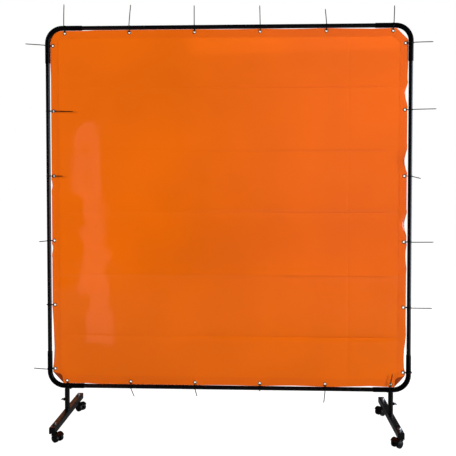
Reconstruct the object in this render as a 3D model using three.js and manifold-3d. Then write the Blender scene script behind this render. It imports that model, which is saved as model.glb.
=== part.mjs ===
// Welding curtain screen on casters.
//
// A square frame of round steel tube, plugged at its corners into larger elbows, holds a tinted vinyl
// curtain by cable ties, through a row of grommets along each edge. The frame's two legs plug into the
// uprights of square-tube feet. A wing screw clamps each upright, and each foot rolls on two twin-wheel
// casters.
//
// Millimetres, +Z up. The origin is on the floor, under the middle of the frame. +X is to the right of
// someone who faces the front, and the front is -Y.

import * as THREE from "three";
import { mergeVertices } from "three/addons/utils/BufferGeometryUtils.js";
import Module from "manifold-3d";

const wasm = await Module();
wasm.setup();

// Overall sizes.
const FRAME_WIDTH = 1829; // over the elbows
const FRAME_HEIGHT = 1829; // over the elbows
const FRAME_LIFT = 187.5; // floor to the underside of the bottom elbows
const FOOT_LENGTH = 524; // over the end caps

// Clearances.
const TOUCH_GAP = 0.3; // between pieces that touch
const PLUG_CLEARANCE = 0.3; // round a tube in its socket
const SHAFT_CLEARANCE = 0.2; // round a shaft, screw or stem in its bore

// Frame tubes, elbows and legs.
const TUBE_OD = 21;
const TUBE_WALL = 1.2;
const TUBE_PLUG_IN = 45; // length of a tube that is inside its elbow
const ELBOW_WALL = 1.7;
const ELBOW_BEND = 75; // radius of the bend's centre line
const ELBOW_STRAIGHT = 99.5; // length of an elbow past each end of its bend
const LEG_OD = 21;
const LEG_WALL = 1.5;
const LEG_PAST_BEND = 12; // from the end of an elbow's bend to the leg's axis
const LEG_END_GAP = 4; // under the leg, inside its socket

// Curtain and grommets.
const CURTAIN_THICKNESS = 0.5;
const CURTAIN_EDGE_GAP = 1; // from an elbow's side to the curtain's edge
const CORNER_CUT_SETBACK = 5.5; // from the end of an elbow's bend to the end of the curtain's corner cut
const GROMMETS_PER_SIDE = 6;
const GROMMET_SETBACK = 12.5; // curtain's edge to a grommet's centre
const GROMMET_FROM_CORNER = 73.5; // curtain's uncut corner to the nearest grommet's centre, along the edge
const GROMMET_OD = 19;
const GROMMET_BORE = 10;
const GROMMET_THICKNESS = 2.4;

// Cable ties.
const TIE_WIDTH = 3.6;
const TIE_THICKNESS = 1.2;
const TIE_SLACK = 0.6; // between the tie and the tube
const TIE_RIM_SLACK = 0.4; // between the tie and the grommet's faces
const TIE_BORE_SLACK = 1.6; // between the tie and the grommet's bore
const TIE_HEAD = { width: 5.2, depth: 4.6, length: 5.4 };
const TIE_BOW = 5; // how far a long tail bows away from a straight line
const TIE_LEG_SLANT = 0.45; // sideways lean, per unit of height, of a tie that passes beside a leg

// Feet.
const BAR_SIZE = 30;
const BAR_WALL = 1.5;
const CAP_THICKNESS = 3;
const CAP_PLUG = 12; // length of an end cap's plug
const SOCKET_WALL = 1.7;
const SOCKET_TOP_GAP = 3.5; // bottom elbow's underside to the top of the socket
const SCREW_HEIGHT = 50.7; // bar's top to the wing screw's axis
const SCREW_DIAMETER = 6;
const SCREW_NUT_DIAMETER = 13;
const SCREW_NUT_LENGTH = 7;
const WING = { span: 26, length: 13, thickness: 2.6 };
const HUB = { diameter: 10, length: 8 };

// Casters.
const CASTER_INSET = 47; // end of a foot to a caster's swivel axis
const CASTER_TRAIL = 17; // swivel axis to wheel axle
const WHEEL_DIAMETER = 40; // across the flats of its faceted rim
const WHEEL_WIDTH = 15; // one wheel of the pair
const WHEEL_ROUNDING = 3;
const WHEEL_SIDES = 24;
const AXLE_DIAMETER = 6;
const WEB_THICKNESS = 11; // the hood's web, between the two wheels
const WEB_GAP = 1.5; // web to wheel, each side
const HOOD_GAP = 1.5; // wheel to hood
const HOOD_WALL = 2.5;
const HOOD_ARC = { from: 30, to: 150 }; // degrees round the axle, from the trailing side
const BOSS_DIAMETER = 18;
const BOSS_ABOVE_WHEEL = 6.5;
const STEM_DIAMETER = 7;
const STEM_DEPTH = 18.5; // below the top of the boss
const FLANGE = { diameter: 16, thickness: 2.2 };
const SHANK_DIAMETER = 10;
const NUT = { flats: 17, height: 6.5 };
const SHANK_ABOVE_NUT = 3;
const BRAKE = { angle: 28, off: 3, width: 17, length: 14, thickness: 3, barrel: 5.6, pin: 3.2, rise: 30 };
const BRAKE_EAR = { width: 3, margin: 1.3, radius: 3.4 };
const HEADING = { left: -31, right: -139 }; // degrees from +X to where the casters trail at rest

// How each tie's tail leaves it: outwards, inwards in front of the curtain, or to the back. Reach is its
// length from the tube's axis, and drift its sideways lean. Sides run clockwise, seen from the front.
const TAILS = {
  top: [
    ["out", 115, 2.5], ["out", 110, 10], ["out", 104, 0],
    ["out", 100, -2.5], ["out", 80, -7.5], ["out", 93, 2.5],
  ],
  right: [
    ["out", 104, -2.5], ["out", 122, -2.5], ["out", 50, 12], ["out", 114, -1], ["out", 110, 0], ["back", 80, 0],
  ],
  bottom: [
    ["in", 84, 23], ["out", 66, 7], ["back", 90, 0], ["out", 42, -11], ["out", 48, -20], ["back", 60, -20],
  ],
  left: [
    ["out", 80, 5], ["back", 85, 0], ["out", 48, -5], ["in", 76, 0], ["in", 130, -4], ["out", 108, 8],
  ],
};

// Values that follow from the sizes above.
const ELBOW_OD = TUBE_OD + 2 * (PLUG_CLEARANCE + ELBOW_WALL);
const HALF_WIDTH = (FRAME_WIDTH - ELBOW_OD) / 2; // to the tubes' centre lines
const HALF_HEIGHT = (FRAME_HEIGHT - ELBOW_OD) / 2;
const FRAME_CENTRE_Z = FRAME_LIFT + FRAME_HEIGHT / 2;
const BOTTOM_TUBE_Z = FRAME_CENTRE_Z - HALF_HEIGHT;
const LEG_INSET = ELBOW_BEND + LEG_PAST_BEND;
const LEG_X = HALF_WIDTH - LEG_INSET;
const CURTAIN_INSET = ELBOW_OD / 2 + CURTAIN_EDGE_GAP; // tube's centre line to the curtain's edge
const GROMMET_INSET = CURTAIN_INSET + GROMMET_SETBACK;
const TIE_PASS = GROMMET_INSET - GROMMET_BORE / 2 + TIE_BORE_SLACK; // tube axis to the tie in its grommet
const WHEEL_RADIUS = WHEEL_DIAMETER / 2;
const BOSS_TOP = WHEEL_DIAMETER + BOSS_ABOVE_WHEEL;
const FLANGE_Z = BOSS_TOP + TOUCH_GAP;
const BAR_Z = FLANGE_Z + FLANGE.thickness + TOUCH_GAP;
const BAR_TOP = BAR_Z + BAR_SIZE;
const CASTER_Y = FOOT_LENGTH / 2 - CASTER_INSET;

const black = (roughness, metalness) =>
  new THREE.MeshStandardMaterial({ color: 0x101114, roughness, metalness });
const powderCoat = black(0.45, 0.3);
const capPlastic = black(0.7, 0);
const tieNylon = black(0.55, 0);
const hoodPlastic = black(0.35, 0);
const wheelPlastic = new THREE.MeshStandardMaterial({ color: 0x1a1a1c, roughness: 0.5 });
const zincPlate = new THREE.MeshStandardMaterial({ color: 0xc9ccd0, roughness: 0.3, metalness: 1 });
const orangeVinyl = new THREE.MeshStandardMaterial({
  color: 0xe4661c, roughness: 0.25, transparent: true, opacity: 0.9,
});

const radians = THREE.MathUtils.degToRad;
const point = (x, y) => new THREE.Vector2(x, y);

// ---- Solids -----------------------------------------------------------------------------------------

function solidOf(geometry) {
  const loose = geometry.index ? geometry.toNonIndexed() : geometry;
  const bare = new THREE.BufferGeometry().setAttribute("position", loose.getAttribute("position"));
  const merged = mergeVertices(bare, 1e-4);
  return new wasm.Manifold(
    new wasm.Mesh({
      numProp: 3,
      vertProperties: merged.attributes.position.array,
      triVerts: new Uint32Array(merged.index.array),
    }),
  );
}

function geometryOf(solid) {
  const { vertProperties, triVerts } = solid.getMesh();
  const geometry = new THREE.BufferGeometry();
  geometry.setAttribute("position", new THREE.BufferAttribute(vertProperties, 3));
  geometry.setIndex(new THREE.BufferAttribute(triVerts, 1));
  return geometry;
}

const join = (...pieces) => geometryOf(pieces.map(solidOf).reduce((all, piece) => all.add(piece)));
const cut = (body, ...tools) =>
  geometryOf(tools.map(solidOf).reduce((rest, tool) => rest.subtract(tool), solidOf(body)));

// A round bar along Z.
const rod = (diameter, from, to, sides = 16) =>
  new THREE.CylinderGeometry(diameter / 2, diameter / 2, to - from, sides)
    .rotateX(Math.PI / 2)
    .translate(0, 0, (from + to) / 2);

// The same bar along X or Y.
const rodX = (...sizes) => rod(...sizes).rotateY(Math.PI / 2);
const rodY = (...sizes) => rod(...sizes).rotateX(-Math.PI / 2);

const pipe = (outer, inner, from, to) => cut(rod(outer, from, to), rod(inner, from - 1, to + 1));

// A box from its two far corners.
const box = (x0, y0, z0, x1, y1, z1) =>
  new THREE.BoxGeometry(x1 - x0, y1 - y0, z1 - z0).translate((x0 + x1) / 2, (y0 + y1) / 2, (z0 + z1) / 2);

// An outline in the XZ plane, given as (x, z) points, made `width` thick about `middle` on the Y axis.
function plateXZ(outline, width, middle = 0, hole = null) {
  const shape = new THREE.Shape(outline);
  if (hole) shape.holes.push(new THREE.Path(hole));
  return new THREE.ExtrudeGeometry(shape, { depth: width, bevelEnabled: false })
    .rotateX(Math.PI / 2)
    .translate(0, middle + width / 2, 0);
}

// Points on an arc, angles in radians.
function arc(x, y, radius, from, to, steps) {
  return Array.from({ length: steps + 1 }, (_, i) => {
    const angle = from + ((to - from) * i) / steps;
    return point(x + radius * Math.cos(angle), y + radius * Math.sin(angle));
  });
}

// ---- Frame ------------------------------------------------------------------------------------------

// An elbow's centre line in the XZ plane: in along +X, a quarter bend about (-bend, -bend), out along -Z.
class ElbowPath extends THREE.Curve {
  constructor(bend, straight, bendSteps) {
    super();
    Object.assign(this, { bend, straight, bendSteps });
  }

  // Each straight is one step, and the bend takes the rest.
  place(t) {
    const step = t * (this.bendSteps + 2) - 1;
    const angle = (Math.PI / 2) * THREE.MathUtils.clamp(step / this.bendSteps, 0, 1);
    const past = this.straight * (Math.min(step, 0) + Math.max(step - this.bendSteps, 0));
    const tangent = new THREE.Vector3(Math.cos(angle), 0, -Math.sin(angle));
    const onBend = new THREE.Vector3(Math.sin(angle) - 1, 0, Math.cos(angle) - 1).multiplyScalar(this.bend);
    return { tangent, position: onBend.addScaledVector(tangent, past) };
  }

  getPoint(t) {
    return this.place(t).position;
  }

  getPointAt(t) {
    return this.place(t).position;
  }

  getTangentAt(t) {
    return this.place(t).tangent;
  }
}

function elbow() {
  const bendSteps = 8;
  const ring = (diameter) => arc(0, 0, diameter / 2, 0, 2 * Math.PI, 16).slice(0, -1);
  const section = new THREE.Shape(ring(ELBOW_OD));
  section.holes.push(new THREE.Path(ring(ELBOW_OD - 2 * ELBOW_WALL)));
  return new THREE.ExtrudeGeometry(section, {
    steps: bendSteps + 2,
    extrudePath: new ElbowPath(ELBOW_BEND, ELBOW_STRAIGHT, bendSteps),
    bevelEnabled: false,
  });
}

// A straight tube, as long as the gap between two elbows and what goes into them.
function frameTube(halfSide) {
  const half = halfSide - ELBOW_BEND - ELBOW_STRAIGHT + TUBE_PLUG_IN;
  return pipe(TUBE_OD, TUBE_OD - 2 * TUBE_WALL, -half, half).rotateY(Math.PI / 2);
}

// A leg, cut to a saddle under the bottom elbow.
function leg() {
  const tube = pipe(LEG_OD, LEG_OD - 2 * LEG_WALL, BAR_TOP + LEG_END_GAP, BOTTOM_TUBE_Z);
  const saddle = rodX(ELBOW_OD + 2 * TOUCH_GAP, -LEG_OD, LEG_OD).translate(0, 0, BOTTOM_TUBE_Z);
  return cut(tube, saddle);
}

// ---- Curtain ----------------------------------------------------------------------------------------

// Places along one side, from its anticlockwise end to its clockwise end.
function grommetPlaces(halfSide) {
  const last = halfSide - CURTAIN_INSET - GROMMET_FROM_CORNER;
  const step = 2 / (GROMMETS_PER_SIDE - 1);
  return Array.from({ length: GROMMETS_PER_SIDE }, (_, i) => last * (step * i - 1));
}

function curtain(sides) {
  const x = HALF_WIDTH - CURTAIN_INSET;
  const z = HALF_HEIGHT - CURTAIN_INSET;
  const corner = ELBOW_BEND - CORNER_CUT_SETBACK - CURTAIN_INSET;
  const round = ELBOW_BEND - CURTAIN_INSET; // the top left corner follows its elbow
  const outline = [
    point(x - corner, -z), point(x, corner - z), point(x, z - corner), point(x - corner, z),
    ...arc(round - x, z - round, round, Math.PI / 2, Math.PI, 8),
    point(-x, corner - z), point(corner - x, -z),
  ];
  const rings = [];
  const bores = [];
  for (const side of sides) {
    for (const along of grommetPlaces(side.half)) {
      const disc = (diameter, depth) =>
        rodY(diameter, -depth / 2, depth / 2, 10)
          .translate(along, 0, side.reach - GROMMET_INSET)
          .rotateY(side.turn);
      rings.push(disc(GROMMET_OD, GROMMET_THICKNESS));
      bores.push(disc(GROMMET_BORE, 2 * GROMMET_THICKNESS));
    }
  }
  return cut(join(plateXZ(outline, CURTAIN_THICKNESS), ...rings), ...bores);
}

// ---- Cable ties -------------------------------------------------------------------------------------

// The tie's band round the tube and through the grommet: two arcs joined by their outer tangents, with
// the tube's axis at (0, 0) and the grommet below it. `offset` moves the outline off the band's middle.
function tieOutline(tubeRadius, offset) {
  const round = tubeRadius + TIE_SLACK + TIE_THICKNESS / 2;
  const small = GROMMET_THICKNESS / 2 + TIE_RIM_SLACK + TIE_THICKNESS / 2;
  const rim = TIE_PASS + TIE_THICKNESS / 2 - small;
  const lean = Math.asin((round - small) / rim);
  return [
    ...arc(0, 0, round + offset, -lean, Math.PI + lean, 9),
    ...arc(0, -rim, small + offset, Math.PI + lean, 2 * Math.PI - lean, 4),
  ];
}

// A tail: a thin strip from the head, bowed a little to the front.
function tail(from, reach) {
  const bow = TIE_BOW * (reach / 100);
  const [start, turn, end] = [point(from, 0), point(from - bow, reach / 2), point(from - bow / 4, reach)];
  const middle = new THREE.QuadraticBezierCurve(start, turn, end).getPoints(4);
  const half = TIE_THICKNESS / 2;
  const edge = (shift) => middle.map((p) => point(p.x + shift, p.y));
  const strip = new THREE.Shape([...edge(-half), ...edge(half).reverse()]);
  return new THREE.ExtrudeGeometry(strip, { depth: TIE_WIDTH, bevelEnabled: false })
    .translate(0, 0, -TIE_WIDTH / 2);
}

// One tie. It is drawn as outlines across the tube, then turned so that the tube lies along X, the
// outward side is +Z and the front is -Y.
function tie(tubeRadius, [way, reach, drift], slant) {
  const seat = -(tubeRadius + TIE_SLACK);
  const shape = new THREE.Shape(tieOutline(tubeRadius, TIE_THICKNESS / 2));
  shape.holes.push(new THREE.Path(tieOutline(tubeRadius, -TIE_THICKNESS / 2)));
  const band = new THREE.ExtrudeGeometry(shape, { depth: TIE_WIDTH, bevelEnabled: false })
    .translate(0, 0, -TIE_WIDTH / 2);
  const head = box(
    seat - TIE_HEAD.depth, -TIE_HEAD.length / 2, -TIE_HEAD.width / 2,
    seat, TIE_HEAD.length / 2, TIE_HEAD.width / 2,
  );
  const strip = tail(seat - TIE_HEAD.depth * 0.6, reach);
  const turn = { out: 0, in: 0, back: -Math.PI / 2 }[way];
  for (const piece of [head, strip]) {
    if (way === "in") piece.rotateX(Math.PI);
    piece.rotateZ(turn);
  }
  const drifted = lean(strip, way === "back" ? 0 : 1, (way === "in" ? -1 : 1) * (drift / reach), 0);
  const [forY, forZ, forX] = [0, 1, 2].map((axis) => new THREE.Vector3().setComponent((axis + 1) % 3, 1));
  return lean(join(band, head, drifted), 1, slant, TIE_PASS).applyMatrix4(
    new THREE.Matrix4().makeBasis(forY, forZ, forX),
  );
}

// Leans a shape along its extrusion, in proportion to the distance from -`zero` on another axis.
function lean(geometry, axis, amount, zero) {
  const place = geometry.getAttribute("position");
  for (let i = 0; i < place.count; i++) {
    place.setZ(i, place.getZ(i) + amount * (place.getComponent(i, axis) + zero));
  }
  return geometry;
}

// ---- Feet -------------------------------------------------------------------------------------------

function footBar() {
  const half = FOOT_LENGTH / 2 - CAP_THICKNESS - TOUCH_GAP;
  const side = BAR_SIZE / 2;
  const hollow = side - BAR_WALL;
  const hole = (y) => rod(SHANK_DIAMETER + 2 * SHAFT_CLEARANCE, BAR_Z - 1, BAR_TOP + 1).translate(0, y, 0);
  return cut(
    box(-side, -half, BAR_Z, side, half, BAR_TOP),
    box(-hollow, -half - 1, BAR_Z + BAR_WALL, hollow, half + 1, BAR_TOP - BAR_WALL),
    hole(-CASTER_Y),
    hole(CASTER_Y),
  );
}

// An end cap for the bar's +Y end: a square plate and the plug behind it.
function endCap() {
  const end = FOOT_LENGTH / 2;
  const side = BAR_SIZE / 2;
  const plug = side - BAR_WALL - PLUG_CLEARANCE;
  const middle = BAR_Z + side;
  return join(
    box(-side, end - CAP_THICKNESS, BAR_Z, side, end, BAR_TOP),
    box(-plug, end - CAP_THICKNESS - CAP_PLUG, middle - plug, plug, end - CAP_THICKNESS / 2, middle + plug),
  );
}

const SOCKET_BORE = LEG_OD + 2 * PLUG_CLEARANCE;
const SOCKET_RADIUS = SOCKET_BORE / 2 + SOCKET_WALL;
const SCREW_Z = BAR_TOP + SCREW_HEIGHT;
const NUT_FACE = SOCKET_RADIUS + SCREW_NUT_LENGTH - 1; // the screw nut's outer face, from the leg's axis

function legSocket() {
  const low = BAR_TOP + TOUCH_GAP;
  const high = BOTTOM_TUBE_Z - ELBOW_OD / 2 - SOCKET_TOP_GAP;
  const nut = rodX(SCREW_NUT_DIAMETER, SOCKET_RADIUS - SOCKET_WALL, NUT_FACE, 12).translate(0, 0, SCREW_Z);
  const thread = rodX(SCREW_DIAMETER + 2 * SHAFT_CLEARANCE, 0, NUT_FACE + 1, 12).translate(0, 0, SCREW_Z);
  return cut(join(rod(2 * SOCKET_RADIUS, low, high), nut), rod(SOCKET_BORE, low - 1, high + 1), thread);
}

function wingScrew() {
  const hubStart = NUT_FACE + 0.5;
  const hubEnd = hubStart + HUB.length;
  const wing = (side) =>
    new THREE.CylinderGeometry(1, 1, WING.thickness, 12)
      .scale(WING.length / 2, 1, WING.span / 4)
      .rotateX(Math.PI / 2)
      .translate(hubStart + WING.length / 2, side * (WING.span / 4), 0);
  return join(
    rodX(SCREW_DIAMETER, LEG_OD / 2 + TOUCH_GAP, hubEnd, 12),
    rodX(HUB.diameter, hubStart, hubEnd, 12),
    wing(-1),
    wing(1),
  ).translate(0, 0, SCREW_Z);
}

// ---- Casters ----------------------------------------------------------------------------------------
// Each is drawn trailing along +X from its swivel axis, which is the Z axis.

const WHEEL_INNER = WEB_THICKNESS / 2 + WEB_GAP;
const WHEEL_OUTER = WHEEL_INNER + WHEEL_WIDTH;
const RIM_RADIUS = WHEEL_RADIUS / Math.cos(Math.PI / WHEEL_SIDES); // to the facets' edges
const HOOD_INNER = RIM_RADIUS + HOOD_GAP;
const HOOD_OUTER = HOOD_INNER + HOOD_WALL;
const polar = (radius, degrees) => {
  const angle = radians(degrees);
  return point(CASTER_TRAIL + radius * Math.cos(angle), WHEEL_RADIUS + radius * Math.sin(angle));
};
const BRAKE_PIVOT = polar(HOOD_OUTER + BRAKE.off, BRAKE.angle);

// The stem that a caster swivels on, with its flange, its shank through the bar and its nut.
function casterStud() {
  const nutZ = BAR_TOP + TOUCH_GAP;
  const nutTop = nutZ + NUT.height;
  return join(
    rod(STEM_DIAMETER, BOSS_TOP - STEM_DEPTH, FLANGE_Z + 1, 12),
    rod(FLANGE.diameter, FLANGE_Z, FLANGE_Z + FLANGE.thickness, 12),
    rod(SHANK_DIAMETER, FLANGE_Z + 1, nutTop + SHANK_ABOVE_NUT, 12),
    rod(NUT.flats / Math.cos(Math.PI / 6), nutZ, nutTop, 6),
  );
}

// Two wheels on one axle, turned so that a facet of the rim lies flat on the floor.
function wheelPair() {
  const rim = RIM_RADIUS;
  const half = [
    point(AXLE_DIAMETER / 2, WHEEL_INNER),
    point(rim, WHEEL_INNER),
    point(rim, WHEEL_OUTER - WHEEL_ROUNDING),
    point(rim - WHEEL_ROUNDING, WHEEL_OUTER),
    point(0, WHEEL_OUTER),
  ];
  const other = half.map((p) => point(p.x, -p.y)).reverse();
  return new THREE.LatheGeometry([...other, ...half], WHEEL_SIDES, Math.PI / WHEEL_SIDES)
    .translate(CASTER_TRAIL, 0, WHEEL_RADIUS);
}

function casterHood(braked) {
  const from = radians(HOOD_ARC.from);
  const to = radians(HOOD_ARC.to);
  const arch = (radius) => arc(CASTER_TRAIL, WHEEL_RADIUS, radius, from, to, 8);
  const boss = BOSS_DIAMETER / 2;
  const bossLow = WHEEL_RADIUS + Math.sqrt((RIM_RADIUS + 1) ** 2 - (CASTER_TRAIL - boss) ** 2);
  const web = [
    ...arch(HOOD_INNER + HOOD_WALL / 2),
    point(-STEM_DIAMETER, WHEEL_RADIUS + 5),
    ...arc(CASTER_TRAIL, WHEEL_RADIUS, AXLE_DIAMETER + 3, 1.25 * Math.PI, 2 * Math.PI, 4),
  ];
  const pieces = [
    plateXZ([...arch(HOOD_OUTER), ...arch(HOOD_INNER).reverse()], 2 * (WHEEL_OUTER + 1)),
    plateXZ(web, WEB_THICKNESS),
    rod(WEB_THICKNESS, WHEEL_RADIUS + 8, BOSS_TOP - 1),
    rod(BOSS_DIAMETER, bossLow, BOSS_TOP),
  ];
  const axle = rodY(AXLE_DIAMETER + 2 * SHAFT_CLEARANCE, -WEB_THICKNESS, WEB_THICKNESS, 12)
    .translate(CASTER_TRAIL, 0, WHEEL_RADIUS);
  const stem = rod(STEM_DIAMETER + 2 * SHAFT_CLEARANCE, BOSS_TOP - STEM_DEPTH - 1, BOSS_TOP + 1, 12);
  const bores = [axle, stem];
  if (braked) {
    const reach = BRAKE.width / 2 + BRAKE_EAR.margin + BRAKE_EAR.width;
    pieces.push(brakeEar(-1), brakeEar(1));
    bores.push(brakeRod(BRAKE.pin + 2 * SHAFT_CLEARANCE, reach + 1));
  }
  return cut(join(...pieces), ...bores);
}

const brakeRod = (diameter, reach) =>
  rodY(diameter, -reach, reach, 12).translate(BRAKE_PIVOT.x, 0, BRAKE_PIVOT.y);

// One of the two ears on the hood that hold the brake lever's pin.
function brakeEar(side) {
  const middle = side * (BRAKE.width / 2 + BRAKE_EAR.margin + BRAKE_EAR.width / 2);
  const root = HOOD_INNER + HOOD_WALL / 2;
  const outline = [
    polar(root, HOOD_ARC.from + 1),
    ...arc(BRAKE_PIVOT.x, BRAKE_PIVOT.y, BRAKE_EAR.radius, -0.5 * Math.PI, 0.4 * Math.PI, 4),
    polar(root, HOOD_ARC.from + 16),
  ];
  return plateXZ(outline, BRAKE_EAR.width, middle);
}

// The foot lever that locks a wheel pair.
function brakeLever() {
  const side = BRAKE.width / 2;
  const half = BRAKE.thickness / 2;
  const pedal = box(0, -side, -half, BRAKE.length, side, half)
    .rotateY(-radians(BRAKE.rise))
    .translate(BRAKE_PIVOT.x, 0, BRAKE_PIVOT.y);
  const reach = side + BRAKE_EAR.margin + BRAKE_EAR.width;
  return join(brakeRod(BRAKE.barrel, side), pedal, brakeRod(BRAKE.pin, reach));
}

// ---- Assembly ---------------------------------------------------------------------------------------

const screen = new THREE.Group();

function place(parent, name, geometry, material, x = 0, y = 0, z = 0) {
  const mesh = new THREE.Mesh(geometry, material);
  mesh.name = name;
  mesh.position.set(x, y, z);
  parent.add(mesh);
  return mesh;
}

function group(parent, x, y, z) {
  const made = new THREE.Group();
  made.position.set(x, y, z);
  parent.add(made);
  return made;
}

// Clockwise round the frame. Each side is laid out as the top one, then turned into place. `corner` is
// the elbow at its clockwise end.
const SIDES = [
  { name: "top", corner: "top_right", turn: 0, half: HALF_WIDTH, reach: HALF_HEIGHT },
  { name: "right", corner: "bottom_right", turn: Math.PI / 2, half: HALF_HEIGHT, reach: HALF_WIDTH },
  { name: "bottom", corner: "bottom_left", turn: Math.PI, half: HALF_WIDTH, reach: HALF_HEIGHT },
  { name: "left", corner: "top_left", turn: 1.5 * Math.PI, half: HALF_HEIGHT, reach: HALF_WIDTH },
];

const frame = group(screen, 0, 0, FRAME_CENTRE_Z);
for (const side of SIDES) {
  const turned = group(frame, 0, 0, 0);
  turned.rotation.y = side.turn;
  place(turned, `${side.name}_tube`, frameTube(side.half), powderCoat, 0, 0, side.reach);
  place(turned, `elbow_${side.corner}`, elbow(), powderCoat, side.half, 0, side.reach);
  grommetPlaces(side.half).forEach((along, i) => {
    const atEnd = i === 0 || i === GROMMETS_PER_SIDE - 1;
    const slant = side.name === "bottom" && atEnd ? -Math.sign(along) * TIE_LEG_SLANT : 0;
    const loop = tie((atEnd ? ELBOW_OD : TUBE_OD) / 2, TAILS[side.name][i], slant);
    place(turned, `tie_${side.name}_${i + 1}`, loop, tieNylon, along, 0, side.reach);
  });
}
place(frame, "curtain", curtain(SIDES), orangeVinyl);

for (const [hand, sign] of [["left", -1], ["right", 1]]) {
  place(screen, `leg_${hand}`, leg(), powderCoat, sign * LEG_X);
  const foot = group(screen, sign * LEG_X, 0, 0);
  const outward = group(foot, 0, 0, 0);
  outward.rotation.z = sign > 0 ? 0 : Math.PI;
  place(outward, `leg_socket_${hand}`, legSocket(), powderCoat);
  place(outward, `wing_screw_${hand}`, wingScrew(), zincPlate);
  place(foot, `foot_bar_${hand}`, footBar(), powderCoat);
  for (const [end, way] of [["front", -1], ["rear", 1]]) {
    place(foot, `end_cap_${end}_${hand}`, endCap(), capPlastic).rotation.z = way > 0 ? 0 : Math.PI;
    place(foot, `caster_stud_${end}_${hand}`, casterStud(), zincPlate, 0, way * CASTER_Y);
    const caster = group(foot, 0, way * CASTER_Y, 0);
    caster.rotation.z = radians(HEADING[hand]);
    place(caster, `caster_hood_${end}_${hand}`, casterHood(end === "front"), hoodPlastic);
    place(caster, `wheels_${end}_${hand}`, wheelPair(), wheelPlastic);
    if (end === "front") place(caster, `brake_lever_${hand}`, brakeLever(), hoodPlastic);
  }
}

export default screen;
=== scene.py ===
"""Welding curtain screen: a black tube frame on casters with an orange vinyl curtain tied into it."""

import math

import bmesh
import bpy
from mathutils import Matrix, Vector, noise


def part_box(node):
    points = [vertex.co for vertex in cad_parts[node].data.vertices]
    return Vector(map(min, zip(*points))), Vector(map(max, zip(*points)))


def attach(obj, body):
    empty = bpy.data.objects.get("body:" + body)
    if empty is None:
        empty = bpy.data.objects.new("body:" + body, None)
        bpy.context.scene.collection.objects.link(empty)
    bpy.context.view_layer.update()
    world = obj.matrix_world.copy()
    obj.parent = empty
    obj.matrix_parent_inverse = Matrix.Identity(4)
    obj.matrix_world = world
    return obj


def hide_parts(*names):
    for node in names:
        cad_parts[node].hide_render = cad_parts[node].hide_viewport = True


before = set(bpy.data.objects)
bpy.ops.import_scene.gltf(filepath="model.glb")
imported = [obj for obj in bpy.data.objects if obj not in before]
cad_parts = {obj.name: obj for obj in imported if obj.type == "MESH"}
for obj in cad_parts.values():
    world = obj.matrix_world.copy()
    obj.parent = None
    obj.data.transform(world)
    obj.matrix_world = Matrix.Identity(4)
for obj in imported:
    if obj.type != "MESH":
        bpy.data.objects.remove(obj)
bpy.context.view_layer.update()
scene = bpy.context.scene
MM = 0.001
TURN = 2 * math.pi


def middle(node):
    low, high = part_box(node)
    return (Vector(low) + Vector(high)) / 2


def extent(node):
    low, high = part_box(node)
    return Vector(high) - Vector(low)


# Places and sizes that the frame gives, in metres.
TUBE_X = middle("right_tube").x
TOP_Z = middle("top_tube").z
BOTTOM_Z = middle("bottom_tube").z
MIDDLE_Z = (TOP_Z + BOTTOM_Z) / 2
HALF_HEIGHT = (TOP_Z - BOTTOM_Z) / 2
TUBE_R = extent("right_tube").x / 2
ELBOW_R = extent("elbow_top_right").y / 2
ELBOW_END = TUBE_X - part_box("elbow_top_right")[0][0]
TUBE_END = extent("top_tube").x / 2
LEG_X = middle("leg_right").x
LEG_R = extent("leg_right").x / 2
LEG_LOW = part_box("leg_right")[0][2]
BAR_LOW, BAR_HIGH = (corner[2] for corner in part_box("foot_bar_right"))
BAR_SIDE = extent("foot_bar_right").x
BAR_HALF = extent("foot_bar_right").y / 2
FOOT_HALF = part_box("end_cap_rear_right")[1][1]
SOCKET_R = extent("leg_socket_right").y / 2
SOCKET_LOW, SOCKET_HIGH = (corner[2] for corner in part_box("leg_socket_right"))
NUT_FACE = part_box("leg_socket_right")[1][0] - LEG_X
SCREW_Z = middle("wing_screw_right").z
CASTER_Y = middle("caster_stud_rear_right").y
CURTAIN_HALF = extent("curtain").x / 2

# Sizes of the pieces' own details, in metres.
BEND = 75 * MM
ELBOW_WALL = 1.7 * MM
TUBE_WALL = 1.2 * MM
LEG_WALL = 1.5 * MM
SOCKET_WALL = 1.7 * MM
BAR_WALL = 1.5 * MM
BAR_ROUNDING = 2.2 * MM
VINYL = 0.5 * MM
HEM = 40 * MM
CORNER_CUT = 56 * MM
ROUND_CORNER = 61.5 * MM  # the curtain's top left corner is rounded, to follow its elbow
GROMMET_INSET = 26 * MM
GROMMETS_A_SIDE = 6
GROMMET_REACH = 815 * MM
GROMMET_PLACES = [(2 * i / (GROMMETS_A_SIDE - 1) - 1) * GROMMET_REACH for i in range(GROMMETS_A_SIDE)]
WHEEL_R = 20 * MM
TRAIL = 17 * MM
HEADING = {"left": math.radians(-31), "right": math.radians(-139)}
HANDS = [("left", -1), ("right", 1)]
ENDS = [("front", -1), ("rear", 1)]

# How each tie's tail leaves it, its reach from the tube's axis and its drift along the tube, in mm.
TAILS = {
    "top": [("out", 115, 2.5), ("out", 110, 10), ("out", 104, 0),
            ("out", 100, -2.5), ("out", 80, -7.5), ("out", 93, 2.5)],
    "right": [("out", 104, -2.5), ("out", 122, -2.5), ("out", 50, 12),
              ("out", 114, -1), ("out", 110, 0), ("back", 80, 0)],
    "bottom": [("in", 84, 23), ("out", 66, 7), ("back", 90, 0),
               ("out", 42, -11), ("out", 48, -20), ("back", 60, -20)],
    "left": [("out", 80, 5), ("back", 85, 0), ("out", 48, -5),
             ("in", 76, 0), ("in", 130, -4), ("out", 108, 8)],
}
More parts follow.
